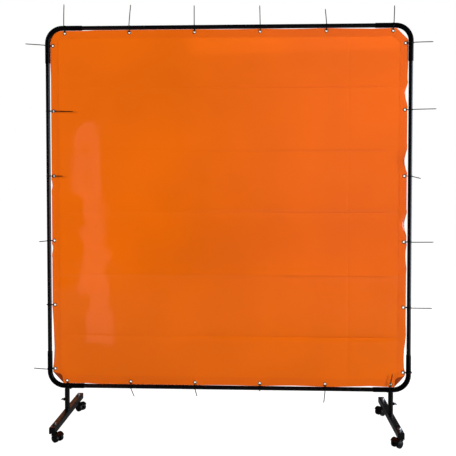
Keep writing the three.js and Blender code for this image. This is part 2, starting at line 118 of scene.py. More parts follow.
# How far, in mm, each edge of the curtain draws in between one tie and the next, with the deepest place
# and the reach of that scallop as shares of the span. Sides run down, top and bottom run to the right.
SCALLOPS = {
    "left": [(0, 0.5, 0.5), (0, 0.5, 0.5), (8, 0.14, 0.16), (8, 0.12, 0.15), (9, 0.5, 0.85)],
    "right": [(14, 0.77, 0.25), (19, 0.77, 0.26), (14, 0.74, 0.26), (8, 0.22, 0.30), (9, 0.80, 0.6)],
    "top": [(0, 0.5, 0.5), (0, 0.5, 0.5), (1, 0.5, 0.5), (2, 0.5, 0.5), (3, 0.5, 0.5)],
    "bottom": [(0, 0.5, 0.6), (0, 0.5, 0.6), (1, 0.5, 0.5), (3, 0.5, 0.5), (4, 0.6, 0.5)],
}
# The folds that the curtain was packed in: their spacing down it, the drop of the middle one, and the place
# of the one that runs from top to bottom.
FOLD_PITCH, FOLD_DROP, FOLD_ACROSS = 312 * MM, 20 * MM, 600 * MM
SIDES = {"top": 0.0, "right": 0.25 * TURN, "bottom": 0.5 * TURN, "left": 0.75 * TURN}


# ---- Materials ---------------------------------------------------------------------------------------

def linear(code, alpha=1.0):
    """An sRGB hex colour as linear RGBA."""
    parts = [int(code[i:i + 2], 16) / 255 for i in (0, 2, 4)]
    return (*(p / 12.92 if p <= 0.04045 else ((p + 0.055) / 1.055) ** 2.4 for p in parts), alpha)


def add(tree, kind, inputs=None, **settings):
    """A node with its settings. An input's value is a number, a colour or the socket that feeds it."""
    node = tree.nodes.new(kind)
    for key, value in settings.items():
        setattr(node, key, value)
    for socket, value in (inputs or {}).items():
        if isinstance(value, bpy.types.NodeSocket):
            tree.links.new(value, node.inputs[socket])
        else:
            node.inputs[socket].default_value = value
    return node


def surface(name, **values):
    """A material, its node tree and its Principled shader."""
    material = bpy.data.materials.new(name)
    material.use_nodes = True
    tree = material.node_tree
    shader = tree.nodes["Principled BSDF"]
    for socket, value in values.items():
        shader.inputs[socket.replace("_", " ")].default_value = value
    return material, tree, shader


def mottled(tree, place, scale, dark, light, detail=3.0):
    """Colour that wanders between two tones, given as hex."""
    cloud = add(tree, "ShaderNodeTexNoise", {"Vector": place, "Scale": scale, "Detail": detail})
    ramp = add(tree, "ShaderNodeValToRGB", {"Fac": cloud.outputs["Fac"]})
    for stop, position, tone in zip(ramp.color_ramp.elements, (0.35, 0.65), (dark, light)):
        stop.position = position
        stop.color = linear(tone)
    return ramp.outputs["Color"]


def varied(tree, place, scale, low, high, detail=3.0):
    """A number that wanders between low and high."""
    cloud = add(tree, "ShaderNodeTexNoise", {"Vector": place, "Scale": scale, "Detail": detail})
    return add(tree, "ShaderNodeMapRange", {
        "Value": cloud.outputs["Fac"], "From Min": 0.3, "From Max": 0.7, "To Min": low, "To Max": high,
    }).outputs["Result"]


def rough_skin(tree, place, across, height, strength, detail, under=None):
    """The normal of a skin with bumps of a size and height in metres, on top of another normal if given."""
    cloud = add(tree, "ShaderNodeTexNoise", {"Vector": place, "Scale": 1 / across, "Detail": detail})
    inputs = {"Height": cloud.outputs["Fac"], "Strength": strength, "Distance": height}
    if under:
        inputs["Normal"] = under
    return add(tree, "ShaderNodeBump", inputs).outputs["Normal"]


def powder_coat(name, shine):
    """Polyester powder coat, baked: deep black, with the orange peel of the melted powder."""
    material, tree, shader = surface(name, IOR=1.5, Specular_IOR_Level=shine)
    place = add(tree, "ShaderNodeTexCoord").outputs["Object"]
    tree.links.new(mottled(tree, place, 9.0, "020203", "060607"), shader.inputs["Base Color"])
    tree.links.new(varied(tree, place, 40.0, 0.24, 0.34), shader.inputs["Roughness"])
    # Orange peel is about 1 mm across; it is drawn 2.5 mm across so that it shows.
    tree.links.new(rough_skin(tree, place, 2.5 * MM, 0.12 * MM, 0.35, 2.0), shader.inputs["Normal"])
    return material


def tinted_vinyl(name, dark, light):
    """Plasticised PVC film, calendered: saturated and glossy, a little cloudy, with a painted pinkish
    reflection that grows up and to the right.
    """
    material, tree, shader = surface(name, IOR=1.53, Transmission_Weight=0.12)
    place = add(tree, "ShaderNodeTexCoord").outputs["Object"]
    tone = mottled(tree, place, 1.6, dark, light, 2.0)
    # Painted reflection: up and to the right the colour is mixed towards pink, standing in for a soft sheen
    # of light on the film.
    where = add(tree, "ShaderNodeSeparateXYZ", {"Vector": place}).outputs
    across = add(tree, "ShaderNodeMapRange", {
        "Value": where["X"], "From Min": -0.3, "From Max": 0.5, "To Max": 0.13})
    share = add(tree, "ShaderNodeMapRange", {
        "Value": where["Z"], "From Min": 0.4, "From Max": 0.9, "To Max": across.outputs["Result"]})
    painted_sheen = add(tree, "ShaderNodeMix", {"Factor": share.outputs["Result"], "A": tone, "B": linear("f05650")},
              data_type="RGBA")
    tree.links.new(painted_sheen.outputs["Result"], shader.inputs["Base Color"])
    tree.links.new(varied(tree, place, 6.0, 0.06, 0.10), shader.inputs["Roughness"])
    # The calender's grain is under 0.5 mm; it is drawn at 3 mm. The slack shows as waves of about 110 mm.
    grain = rough_skin(tree, place, 3.03 * MM, 0.08 * MM, 0.15, 3.0)
    waves = rough_skin(tree, place, 111 * MM, 4 * MM, 0.8, 0.0, grain)
    tree.links.new(waves, shader.inputs["Normal"])
    return material


def moulded(name, dark, light, roughness, grain=1.43 * MM):
    """Moulded or spun plastic: one colour right through, with a fine bite to its surface."""
    material, tree, shader = surface(name, IOR=1.53, Specular_IOR_Level=0.2)
    place = add(tree, "ShaderNodeTexCoord").outputs["Object"]
    tree.links.new(mottled(tree, place, 60.0, dark, light), shader.inputs["Base Color"])
    tree.links.new(varied(tree, place, 120.0, roughness - 0.06, roughness + 0.08), shader.inputs["Roughness"])
    tree.links.new(rough_skin(tree, place, grain, 0.06 * MM, 0.3, 2.0), shader.inputs["Normal"])
    return material


def zinc_plate():
    """Bright zinc on steel: cool silver with faint clouding from the plating bath."""
    material, tree, shader = surface("bright_zinc_plate", Metallic=1.0)
    place = add(tree, "ShaderNodeTexCoord").outputs["Object"]
    tree.links.new(mottled(tree, place, 90.0, "a9aeb4", "d9dcdd"), shader.inputs["Base Color"])
    tree.links.new(varied(tree, place, 160.0, 0.20, 0.38), shader.inputs["Roughness"])
    return material


def rolled_brass():
    """Brass eyelets, rolled and tumbled: warm, mottled at random between darker and lighter brass."""
    material, tree, shader = surface("rolled_brass", Metallic=1.0)
    place = add(tree, "ShaderNodeTexCoord").outputs["Object"]
    tree.links.new(mottled(tree, place, 110.0, "6a4c26", "a8854e"), shader.inputs["Base Color"])
    tree.links.new(varied(tree, place, 200.0, 0.22, 0.40), shader.inputs["Roughness"])
    return material


POWDER = powder_coat("semi_gloss_powder_coat", 0.36)
MATT_POWDER = powder_coat("matt_powder_coat", 0.05)
CURTAIN_VINYL = tinted_vinyl("orange_tinted_vinyl", "e4660a", "f06c08")
# Painted shade: the dark tone of the corner flaps stands in for the shadow of the fold.
FOLD_SHADE_VINYL = tinted_vinyl("orange_vinyl_fold_shade", "6c2406", "943a08")
HEM_VINYL = tinted_vinyl("orange_vinyl_doubled", "e0620a", "ec680c")
TIE_NYLON = moulded("satin_tie_nylon", "040404", "0a0a0b", 0.42)
HOOD_NYLON = moulded("gloss_hood_nylon", "050506", "0b0b0c", 0.28)
WHEEL_NYLON = moulded("wheel_nylon", "070708", "0e0e0f", 0.42, 3.33 * MM)
CAP_PLASTIC = moulded("cap_polyethylene", "060606", "0c0c0c", 0.5)
THREAD = moulded("orange_polyester_thread", "c8560c", "e0701a", 0.6)
ZINC = zinc_plate()
BRASS = rolled_brass()


# ---- Building blocks -----------------------------------------------------------------------------------

def finish_piece(name, bm, material, body, replaces=(), sharp=38):
    """Turns a bmesh into a piece that rides on a body. Edges sharper than `sharp` degrees stay crisp."""
    bmesh.ops.remove_doubles(bm, verts=bm.verts, dist=1e-6)
    bmesh.ops.recalc_face_normals(bm, faces=bm.faces)
    for face in bm.faces:
        face.smooth = True
    for edge in bm.edges:
        edge.smooth = len(edge.link_faces) != 2 or edge.calc_face_angle(0) < math.radians(sharp)
    mesh = bpy.data.meshes.new(name)
    bm.to_mesh(mesh)
    bm.free()
    mesh.materials.append(material)
    piece = bpy.data.objects.new(name, mesh)
    scene.collection.objects.link(piece)
    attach(piece, body)
    if replaces:
        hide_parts(*replaces)
    return piece


def verts_of(geom):
    return [item for item in geom if isinstance(item, bmesh.types.BMVert)]


def edges_of(geom):
    return [item for item in geom if isinstance(item, bmesh.types.BMEdge)]


def ease_edges(bm, edges, offset, segments=2, made=(), clamp=False):
    """Rounds edges off, and returns the vertices that the shape `made` has afterwards."""
    result = bmesh.ops.bevel(
        bm, geom=edges, offset=offset, segments=segments, affect="EDGES", profile=0.5, material=-1,
        clamp_overlap=clamp)
    return list(set(result["verts"]) | {v for v in made if v.is_valid})


def turned(bm, outline, segments=48, place=Matrix.Identity(4), closed=False):
    """Spins an outline of (radius, height) points about the Z axis, then puts it in place."""
    before = set(bm.verts)
    points = [bm.verts.new((radius, 0, height)) for radius, height in outline]
    pairs = list(zip(points, points[1:])) + ([(points[-1], points[0])] if closed else [])
    edges = [bm.edges.new(pair) for pair in pairs]
    bmesh.ops.spin(
        bm, geom=points + edges, axis=(0, 0, 1), cent=(0, 0, 0), steps=segments, angle=TURN, use_merge=True)
    made = [v for v in bm.verts if v not in before]
    bmesh.ops.remove_doubles(bm, verts=made, dist=1e-7)
    made = [v for v in bm.verts if v not in before]
    bmesh.ops.transform(bm, matrix=place, verts=made)
    return made


def in_mm(points):
    return [(first * MM, second * MM) for first, second in points]


def pipe_outline(outer, wall, low, high, ease=0.3 * MM):
    """The wall of a pipe, with its rims eased."""
    inner = outer - wall
    return [
        (inner, low + ease), (inner + ease, low), (outer - ease, low), (outer, low + ease),
        (outer, high - ease), (outer - ease, high), (inner + ease, high), (inner, high - ease),
    ]


def along(axis, x=0.0, y=0.0, z=0.0):
    """A matrix that lays the Z axis along X or Y, or leaves it, and moves to a place."""
    turns = {
        "X": Matrix.Rotation(TURN / 4, 4, "Y"),
        "Y": Matrix.Rotation(-TURN / 4, 4, "X"),
        "Z": Matrix.Identity(4),
    }
    return Matrix.Translation((x, y, z)) @ turns[axis]


def at_foot(sign, half_turn=False):
    """A matrix that moves a shape drawn round the Z axis to a leg, turned half round if asked."""
    return Matrix.Translation((sign * LEG_X, 0, 0)) @ Matrix.Rotation(math.pi * half_turn, 4, "Z")


def block(bm, low, high, ease=0.0, segments=2, place=Matrix.Identity(4)):
    """A box between two corners, with eased edges."""
    low, high = Vector(low), Vector(high)
    made = bmesh.ops.create_cube(bm, size=1.0)["verts"]
    bmesh.ops.scale(bm, vec=high - low, verts=made)
    bmesh.ops.translate(bm, vec=(low + high) / 2, verts=made)
    if ease:
        made = ease_edges(bm, list({edge for v in made for edge in v.link_edges}), ease, segments, made)
    bmesh.ops.transform(bm, matrix=place, verts=made)
    return made


def slab(bm, outline, low, high, ease=0.0, place=Matrix.Identity(4)):
    """An (x, z) outline made thick along Y from low to high, with eased edges."""
    face = bm.faces.new([bm.verts.new((x, low, z)) for x, z in outline])
    top = verts_of(bmesh.ops.extrude_face_region(bm, geom=[face])["geom"])
    bmesh.ops.translate(bm, vec=(0, high - low, 0), verts=top)
    made = top + list(face.verts)
    if ease:
        edges = {edge for v in made for edge in v.link_edges}
        rims = [edge for edge in edges if abs(edge.verts[0].co.y - edge.verts[1].co.y) < 1e-9]
        made = ease_edges(bm, rims, ease, 2, made, clamp=True)
    bmesh.ops.transform(bm, matrix=place, verts=made)
    return made


def arc(x, y, radius, start, stop, steps):
    """Points on an arc. Angles are in radians."""
    angles = [start + (stop - start) * i / steps for i in range(steps + 1)]
    return [(x + radius * math.cos(a), y + radius * math.sin(a)) for a in angles]


def weld_bead(name, body, centre, radius, bead, height):
    """A weld round a joint. `height` gives the seam's height above centre, from the angle round it."""
    bm = bmesh.new()
    ripples, sides = 26, 10
    turned(bm, arc(radius, 0, bead, 0, TURN * (sides - 1) / sides, sides - 1), 144, closed=True)
    for v in bm.verts:
        angle = math.atan2(v.co.y, v.co.x)
        out = math.hypot(v.co.x, v.co.y) - radius
        swell = 1 + 0.16 * abs(math.sin(ripples * angle / 2)) + 0.10 * math.sin(3 * angle + radius * 1e4)
        reach = radius + out * swell
        v.co = Vector((reach * math.cos(angle), reach * math.sin(angle), v.co.z * swell + height(angle)))
    bmesh.ops.translate(bm, vec=centre, verts=bm.verts)
    return finish_piece(name, bm, POWDER, body, sharp=60)


# ---- Frame ---------------------------------------------------------------------------------------------

def frame_tubes():
    """The four straight tubes, whose ends are inside the elbows."""
    vertical = extent("right_tube").z / 2
    for name, axis, x, z, half in [
        ("top", "X", 0, TOP_Z, TUBE_END), ("bottom", "X", 0, BOTTOM_Z, TUBE_END),
        ("left", "Z", -TUBE_X, MIDDLE_Z, vertical), ("right", "Z", TUBE_X, MIDDLE_Z, vertical),
    ]:
        bm = bmesh.new()
        turned(bm, pipe_outline(TUBE_R, TUBE_WALL, -half, half), 48, along(axis, x, 0, z), closed=True)
        finish_piece(f"{name}_rail", bm, POWDER, "frame", [f"{name}_tube"])


def elbow_wall(bm, radius, straight):
    """One wall of an elbow: in along +X, a quarter bend, and down along -Z. Returns its two end loops."""
    start = bmesh.ops.create_circle(
        bm, cap_ends=False, radius=radius, segments=40, matrix=along("X", -BEND - straight))["verts"]
    first = list({e for v in start for e in v.link_edges})
    pushed = bmesh.ops.extrude_edge_only(bm, edges=first)["geom"]
    bmesh.ops.translate(bm, vec=(straight, 0, 0), verts=verts_of(pushed))
    loop = [e for e in edges_of(pushed) if all(abs(v.co.x + BEND) < 1e-7 for v in e.verts)]
    bent = bmesh.ops.spin(
        bm, geom=loop + list({v for e in loop for v in e.verts}), axis=(0, 1, 0), cent=(-BEND, 0, -BEND),
        steps=20, angle=TURN / 4, use_merge=False)["geom_last"]
    pushed = bmesh.ops.extrude_edge_only(bm, edges=edges_of(bent))["geom"]
    bmesh.ops.translate(bm, vec=(0, 0, -straight), verts=verts_of(pushed))
    low = -BEND - straight
    last = [e for e in edges_of(pushed) if all(abs(v.co.z - low) < 1e-6 for v in e.verts)]
    return first, last


def elbows():
    """The four corner elbows. The tubes plug into them, so their rims stand proud of the tubes."""
    straight = ELBOW_END - BEND
    for corner, turn, x, z in [
        ("top_right", 0, TUBE_X, TOP_Z), ("bottom_right", 1, TUBE_X, BOTTOM_Z),
        ("bottom_left", 2, -TUBE_X, BOTTOM_Z), ("top_left", 3, -TUBE_X, TOP_Z),
    ]:
        bm = bmesh.new()
        outer = elbow_wall(bm, ELBOW_R, straight)
        inner = elbow_wall(bm, ELBOW_R - ELBOW_WALL, straight)
        rims = []
        for out, inside in zip(outer, inner):
            faces = bmesh.ops.bridge_loops(bm, edges=out + inside)["faces"]
            rims += [e for face in faces for e in face.edges if e in out]
        ease_edges(bm, list(set(rims)), 0.5 * MM)
        place = Matrix.Translation((x, 0, z)) @ Matrix.Rotation(turn * TURN / 4, 4, "Y")
        bmesh.ops.transform(bm, matrix=place, verts=bm.verts)
        name = f"elbow_{corner}"
        finish_piece(f"elbow_coated_{corner}", bm, MATT_POWDER, "frame", [name])


def legs():
    """The legs, coped to the bottom elbows and welded."""
    def cope(y):
        """The height of an elbow's underside, from its axis, at a distance to the front or back of it."""
        return -math.sqrt(max(ELBOW_R ** 2 - y ** 2, 0))

    for hand, sign in HANDS:
        bm = bmesh.new()
        top = BOTTOM_Z - ELBOW_R
        turned(bm, pipe_outline(LEG_R, LEG_WALL, LEG_LOW, top), 48, at_foot(sign), closed=True)
        for v in bm.verts:
            if v.co.z > top - 1 * MM:
                v.co.z = BOTTOM_Z + cope(v.co.y) - 0.1 * MM
        finish_piece(f"leg_coped_{hand}", bm, POWDER, "frame", [f"leg_{hand}"])
        centre = (sign * LEG_X, 0, BOTTOM_Z)
        weld_bead(f"leg_weld_{hand}", "frame", centre, LEG_R + 0.3 * MM, 1.5 * MM,
                  lambda angle: cope(LEG_R * math.sin(angle)))


# ---- Curtain -------------------------------------------------------------------------------------------

# How far an edge is drawn by its ties where it lies straight, how far from its middle that ends, and over
# what length it fades.
SNUG, SNUG_REACH, SNUG_FADE = 2.2 * MM, 710 * MM, 50 * MM
# How far in from an edge its scallops are felt, how far in they curl, and how far in the hem holds the film.
PULL_REACH, CURL_REACH, HELD = 50 * MM, 25 * MM, 120 * MM
# Heights of the puckers in the hem, and how wide a band beside the seam has them.
PUCKER, PUCKER_RIGHT, PUCKER_WIDE = 0.8 * MM, 2.6 * MM, 18 * MM
# Heights of the film's slow waves, of its belly to the front and of its small waves.
SLACK, BELLY, RIPPLE = 5 * MM, 3 * MM, 1.2 * MM
# Heights of the level folds and of the upright one, and how sharp they are.
CREASE, CREASE_UPRIGHT, CREASE_WIDE = 3.8 * MM, 1.6 * MM, 6 * MM
WINDOW = 7.5 * MM  # half the side of the square that is cut out round a grommet
HOLE_R = 5.6 * MM
FLAP_WIDE, FLAP_DEEP = 54 * MM, 21 * MM


def within(low, value, high):
    return max(low, min(high, value))


def edge_distance(x, z):
    """Distance from a point of the flat curtain to its nearest edge. x and z are from its middle."""
    corner = (2 * CURTAIN_HALF - CORNER_CUT - abs(x) - abs(z)) / math.sqrt(2)
    if x < ROUND_CORNER - CURTAIN_HALF and z > CURTAIN_HALF - ROUND_CORNER:
        corner = ROUND_CORNER - math.hypot(x + CURTAIN_HALF - ROUND_CORNER, z - CURTAIN_HALF + ROUND_CORNER)
    elif x < 0 < z:
        corner = CURTAIN_HALF
    return min(CURTAIN_HALF - abs(x), CURTAIN_HALF - abs(z), corner)


def scallop(side, place):
    """How deep, in metres, an edge draws in at a place along it. It is shallow at the ties."""
    pitch = GROMMET_PLACES[1] - GROMMET_PLACES[0]
    share = (place - GROMMET_PLACES[0]) / pitch
    span = min(math.floor(share), len(SCALLOPS[side]) - 1)
    snug = SNUG * within(0.0, (SNUG_REACH - abs(place)) / SNUG_FADE, 1.0)
    if span < 0:
        return 0.0
    depth, deepest, reach = SCALLOPS[side][span]
    off = (share - span - deepest) / reach
    at_ties = min(1.0, 0.3 + 10 * min(share - span, abs(1 - share + span)))
    return (depth * MM * at_ties * math.cos(0.25 * TURN * off) ** 2 if abs(off) < 1 else 0.0) - snug


def drape(x, z):
    """Where a point of the flat curtain hangs. The edges draw in between the ties and curl there."""
    side, level = ("left", "right")[x > 0], ("bottom", "top")[z > 0]
    gap_x, gap_z = CURTAIN_HALF - abs(x), CURTAIN_HALF - abs(z)
    in_x, in_z = scallop(side, -z), scallop(level, x)
    pull_x = -math.copysign(in_x, x) * math.exp(-gap_x / PULL_REACH)
    pull_z = -math.copysign(1, z) * in_z * math.exp(-gap_z / PULL_REACH)
    out = 0.9 * max(in_x, 0.0) * math.exp(-gap_x / CURL_REACH) * math.sin(9 * z + 2)
    # Puckers in the hem, from the sewing, are strongest on the right.
    seam = (PUCKER_RIGHT if x > 0 else PUCKER) * math.exp(-(((gap_x - HEM) / PUCKER_WIDE) ** 2))
    out += seam * noise.noise(Vector((x * 9.0, z * 16.0, 1.0)))
    out += 0.35 * seam * noise.noise(Vector((x * 30.0, z * 42.0, 3.0)))
    seam = PUCKER * math.exp(-(((gap_z - HEM) / PUCKER_WIDE) ** 2))
    out += seam * noise.noise(Vector((x * 16.0, z * 9.0, 5.0)))
    # The body of the sheet bellies a little, hangs in shallow waves and keeps the folds it was packed in.
    inside = within(0.0, min(gap_x, gap_z) / HELD, 1.0)
    belly = (1 - (x / CURTAIN_HALF) ** 2) * (1 - (z / CURTAIN_HALF) ** 2)
    out += inside * (SLACK * noise.noise(Vector((x * 1.9, z * 0.7, 2.0))) + BELLY * belly)
    out += inside * RIPPLE * noise.noise(Vector((x * 5.0, z * 2.4, 8.0)))
    # Level folds stand to the front and the back by turns, and are plainer on the right.
    fold = (z + FOLD_DROP) / FOLD_PITCH
    crease = abs(fold - round(fold)) * FOLD_PITCH
    plain = 0.7 + 0.5 * within(-1.0, x / 0.3, 1.0)
    out += inside * plain * (-1) ** round(fold) * CREASE * math.exp(-crease / CREASE_WIDE)
    out += inside * CREASE_UPRIGHT * math.exp(-abs(x - FOLD_ACROSS) / CREASE_WIDE)
    return Vector((x + pull_x, out, MIDDLE_Z + z + pull_z))


def lean_of(x, z):
    """The matrix that sets a small flat thing on the hung curtain, with its Z axis off the front face."""
    step = 2 * MM
    across = (drape(x + step, z) - drape(x - step, z)).normalized()
    upward = (drape(x, z + step) - drape(x, z - step)).normalized()
    face = across.cross(upward).normalized()
    upward = face.cross(across)
    turn = Matrix((across, upward, face)).transposed().to_4x4()
    return Matrix.Translation(drape(x, z)) @ turn


def grommet_centres():
    """Where the grommets are on the flat curtain, from its middle."""
    edge_x, edge_z = TUBE_X - GROMMET_INSET, HALF_HEIGHT - GROMMET_INSET
    for place in GROMMET_PLACES:
        for sign in (-1, 1):
            yield place, sign * edge_z
            yield sign * edge_x, place


def cut_across(bm, place, facing, clear=False):
    """Cuts the flat sheet along a line that faces `facing`, and drops what is past it if asked."""
    bmesh.ops.bisect_plane(
        bm, geom=bm.verts[:] + bm.edges[:] + bm.faces[:], plane_co=(*place, 0), plane_no=(*facing, 0),
        dist=1e-5, clear_outer=clear)


def cut_grid(bm, cuts):
    """Adds lines to the flat sheet beside its grommets, hem and folds, and at the given cuts inside it."""
    lines = {round(c + s * WINDOW, 5) for x, z in grommet_centres() for c in (x, z) for s in (-1, 1)}
    lines |= {s * (CURTAIN_HALF - cut) for cut in [*cuts, 4 * MM, 12 * MM, HEM] for s in (-1, 1)}
    lines |= {i * FOLD_PITCH - FOLD_DROP + s * 5 * MM for i in range(-2, 3) for s in (-1, 0, 1)}
    lines |= {FOLD_ACROSS + s * 5 * MM for s in (-1, 0, 1)}
    for line in sorted(lines):
        cut_across(bm, (line, line), (1, 0))
        cut_across(bm, (line, line), (0, 1))


def cut_corners(bm, cut):
    """Cuts the corners off. With a cut over 0, it only adds that line inside them."""
    step = CURTAIN_HALF - CORNER_CUT / 2 - cut / math.sqrt(2)
    for sx, sz in [(1, 1), (1, -1), (-1, -1)]:
        cut_across(bm, (sx * step, sz * step), (sx, sz), clear=not cut)
    middle = Vector((ROUND_CORNER - CURTAIN_HALF, CURTAIN_HALF - ROUND_CORNER))
    steps = 4 if cut else 12
    for i in range(1, steps):
        angle = TURN / 4 * (1 + i / steps)
        out = Vector((math.cos(angle), math.sin(angle)))
        cut_across(bm, middle + out * (ROUND_CORNER - cut), out, clear=not cut)


def flat_curtain(cuts):
    """The flat sheet with cut corners and holes for the grommets, with extra lines at the given cuts."""
    bm = bmesh.new()
    cells = 120
    bmesh.ops.create_grid(bm, x_segments=cells, y_segments=cells, size=CURTAIN_HALF)
    cut_grid(bm, cuts)
    for cut in [*cuts, 0]:
        cut_corners(bm, cut)
    for x, z in grommet_centres():
        centre = Vector((x, z, 0))
        inside = [f for f in bm.faces if max(abs(c) for c in (f.calc_center_median() - centre)) < WINDOW]
        bmesh.ops.delete(bm, geom=inside, context="FACES")
        rim = [e for e in bm.edges if e.is_boundary and all(
            max(abs(c) for c in (v.co - centre)) < WINDOW + 1e-5 for v in e.verts)]
        for v in verts_of(bmesh.ops.extrude_edge_only(bm, edges=rim)["geom"]):
            v.co = centre + (v.co - centre).normalized() * HOLE_R
    return bm


def hang(bm, front):
    """Hangs a flat sheet, `front` metres before the curtain's middle surface. Its Z goes to the front."""
    for v in bm.verts:
        v.co = lean_of(v.co.x, v.co.y) @ Vector((0, 0, front + v.co.z))


def film(name, bm, front, material, replaces=()):
    """Hangs a flat sheet as a film, with its middle `front` metres in front of the curtain's."""
    raised = bmesh.ops.extrude_face_region(bm, geom=bm.faces[:], use_keep_orig=True)["geom"]
    bmesh.ops.translate(bm, vec=(0, 0, VINYL), verts=verts_of(raised))
    hang(bm, front - VINYL / 2)
    return finish_piece(name, bm, material, "frame", replaces, sharp=50)


def curtain_sheet():
    return film("curtain_film", flat_curtain([]), 0.0, CURTAIN_VINYL, ["curtain"])


def curtain_hem():
    """The edge of the film, folded over to the front and sewn down."""
    bm = flat_curtain([HEM])
    inner = [f for f in bm.faces if edge_distance(*f.calc_center_median().xy) > HEM]
    bmesh.ops.delete(bm, geom=inner, context="FACES")
    return film("curtain_hem", bm, VINYL + 0.1 * MM, HEM_VINYL)


def corner_folds():
    """The flap at each lower corner, where the film is folded over once more; its dark colour is painted
    shade of the fold.
    """
    made = []
    for hand, sign in HANDS:
        bm = bmesh.new()
        bmesh.ops.create_grid(bm, x_segments=20, y_segments=4, size=0.5)
        for v in bm.verts:
            # It starts beside the cut, and narrows inwards to a fifth of its width.
            inset = 0.5 * MM + FLAP_DEEP * (0.5 + v.co.y)
            spread = FLAP_WIDE * (0.6 - 0.8 * v.co.y) * v.co.x
            reach = CURTAIN_HALF - CORNER_CUT / 2 - inset / math.sqrt(2)
            v.co = Vector((sign * (reach + spread), spread - reach, 0))
        made.append(film(f"corner_fold_{hand}", bm, 2.6 * VINYL, FOLD_SHADE_VINYL))
    return made


def stitching():
    """Lock stitch round the hem, as short proud threads."""
    bm = bmesh.new()
    pitch, length, thick, inset = 5.0 * MM, 3.6 * MM, 0.9 * MM, HEM - 4 * MM
    reach = CURTAIN_HALF - inset
    cut = reach - CORNER_CUT + inset * (2 - math.sqrt(2))
    middle = CURTAIN_HALF - ROUND_CORNER
    corners = [(cut, reach), (reach, cut), (reach, -cut), (cut, -reach), (-cut, -reach), (-reach, -cut)]
    corners += arc(-middle, middle, ROUND_CORNER - inset, TURN / 2, TURN / 4, 8)
    for (x0, z0), (x1, z1) in zip(corners, corners[1:] + corners[:1]):
        run = math.hypot(x1 - x0, z1 - z0)
        turn = Matrix.Rotation(math.atan2(z1 - z0, x1 - x0), 4, "Z")
        count = max(1, round(run / pitch))
        for i in range(count):
            t = (i + 0.5) / count
            place = lean_of(x0 + (x1 - x0) * t, z0 + (z1 - z0) * t) @ turn
            made = bmesh.ops.create_cube(bm, size=1.0)["verts"]
            for v in made:
                dive = 0.55 if v.co.z > 0 else 1.0
                v.co = Vector((v.co.x * length * dive, v.co.y * thick, v.co.z * thick))
            bmesh.ops.translate(bm, vec=(0, 0, 1.5 * VINYL + 0.2 * MM), verts=made)
            bmesh.ops.transform(bm, matrix=place, verts=made)
    return finish_piece("hem_stitching", bm, THREAD, "frame", sharp=80)


def grommets():
    """Rolled brass eyelets: a domed flange and barrel at the front, and a washer at the back."""
    outline = in_mm([
        (5.0, -0.9), (5.0, 0.6), (5.5, 1.65), (6.6, 1.95), (8.0, 1.75), (9.2, 1.05), (9.5, 0.45),
        (9.3, 0.25), (8.6, 0.55), (6.4, 0.65), (5.6, 0.5), (5.5, -0.4), (7.5, -0.45), (9.3, -0.35),
        (9.5, -0.6), (9.2, -0.85), (7.0, -1.15), (5.5, -1.3),
    ])
    made = []
    for number, (x, z) in enumerate(grommet_centres(), 1):
        bm = bmesh.new()
        turned(bm, outline, 40, lean_of(x, z), closed=True)
        made.append(finish_piece(f"grommet_{number}", bm, BRASS, "frame", sharp=50))
    return made


# ---- Cable ties ----------------------------------------------------------------------------------------

TIE_WIDE, TIE_THICK = 4.2 * MM, 1.2 * MM
TIE_HEAD = Vector((5.2, 4.6, 5.4)) * MM
TIE_GAP = 0.6 * MM  # from the tube to the band
TIE_PASS = 22.6 * MM  # tube's axis to the tie inside its grommet
TIE_TURN = 2.2 * MM  # radius of the band's turn through the grommet
TOOTH_PITCH = 1.3 * MM
END_SLANT = 0.45  # lean of the bottom row's first and last tie, which clear the legs


def band_line(radius):
    """The band's middle line across the tube: round it, and through the grommet below it."""
    big, small = radius + TIE_GAP + TIE_THICK / 2, TIE_TURN
    rim = TIE_PASS + TIE_THICK / 2 - small
    lean = math.asin((big - small) / rim)
    upper = arc(0, 0, big, -lean, math.pi + lean, 36)
    lower = arc(0, -rim, small, math.pi + lean, TURN - lean, 10)
    return upper + lower


def ribbon(bm, line, wide, closed=False):
    """A flat ribbon along a line of (y, z) points, `wide` across X. It is made thick afterwards."""
    rows = [[bm.verts.new((side * wide / 2, y, z)) for side in (-1, 0, 1)] for y, z in line]
    count = len(rows)
    faces = []
    for i in range(count if closed else count - 1):
        a, b = rows[i], rows[(i + 1) % count]
        faces += [bm.faces.new((a[j], b[j], b[j + 1], a[j + 1])) for j in (0, 1)]
    return rows, faces


def thick_ribbon(bm, line, closed=False, teeth=False, taper=False):
    """A ribbon with its thickness, and with ratchet teeth on its inner face if asked."""
    before = set(bm.verts)
    rows, faces = ribbon(bm, line, TIE_WIDE, closed)
    if taper:
        for row, share in zip(rows[-6:], (0.98, 0.93, 0.85, 0.74, 0.60, 0.42)):
            for v in row:
                v.co.x *= share
    bmesh.ops.recalc_face_normals(bm, faces=faces)
    outer = {v for row in rows for v in row}
    bmesh.ops.solidify(bm, geom=faces, thickness=TIE_THICK)
    made = [v for v in bm.verts if v not in before]
    if teeth:
        twin = [v for v in made if v not in outer and abs(v.co.x) < 1e-6]
        for v in twin[::2]:
            nearest = min(outer, key=lambda o: (o.co - v.co).length_squared)
            v.co = v.co.lerp(nearest.co, -0.28)
    return made


def tail_line(root, reach):
    """A tail's middle line, which bows a little to the front, with a point for each tooth."""
    bow = reach / 20
    steps = max(12, int(reach / TOOTH_PITCH))
    shares = [i / steps for i in range(steps + 1)]
    return [(root - bow * 2 * t * (1 - t) - bow / 4 * t ** 2, reach * t) for t in shares]


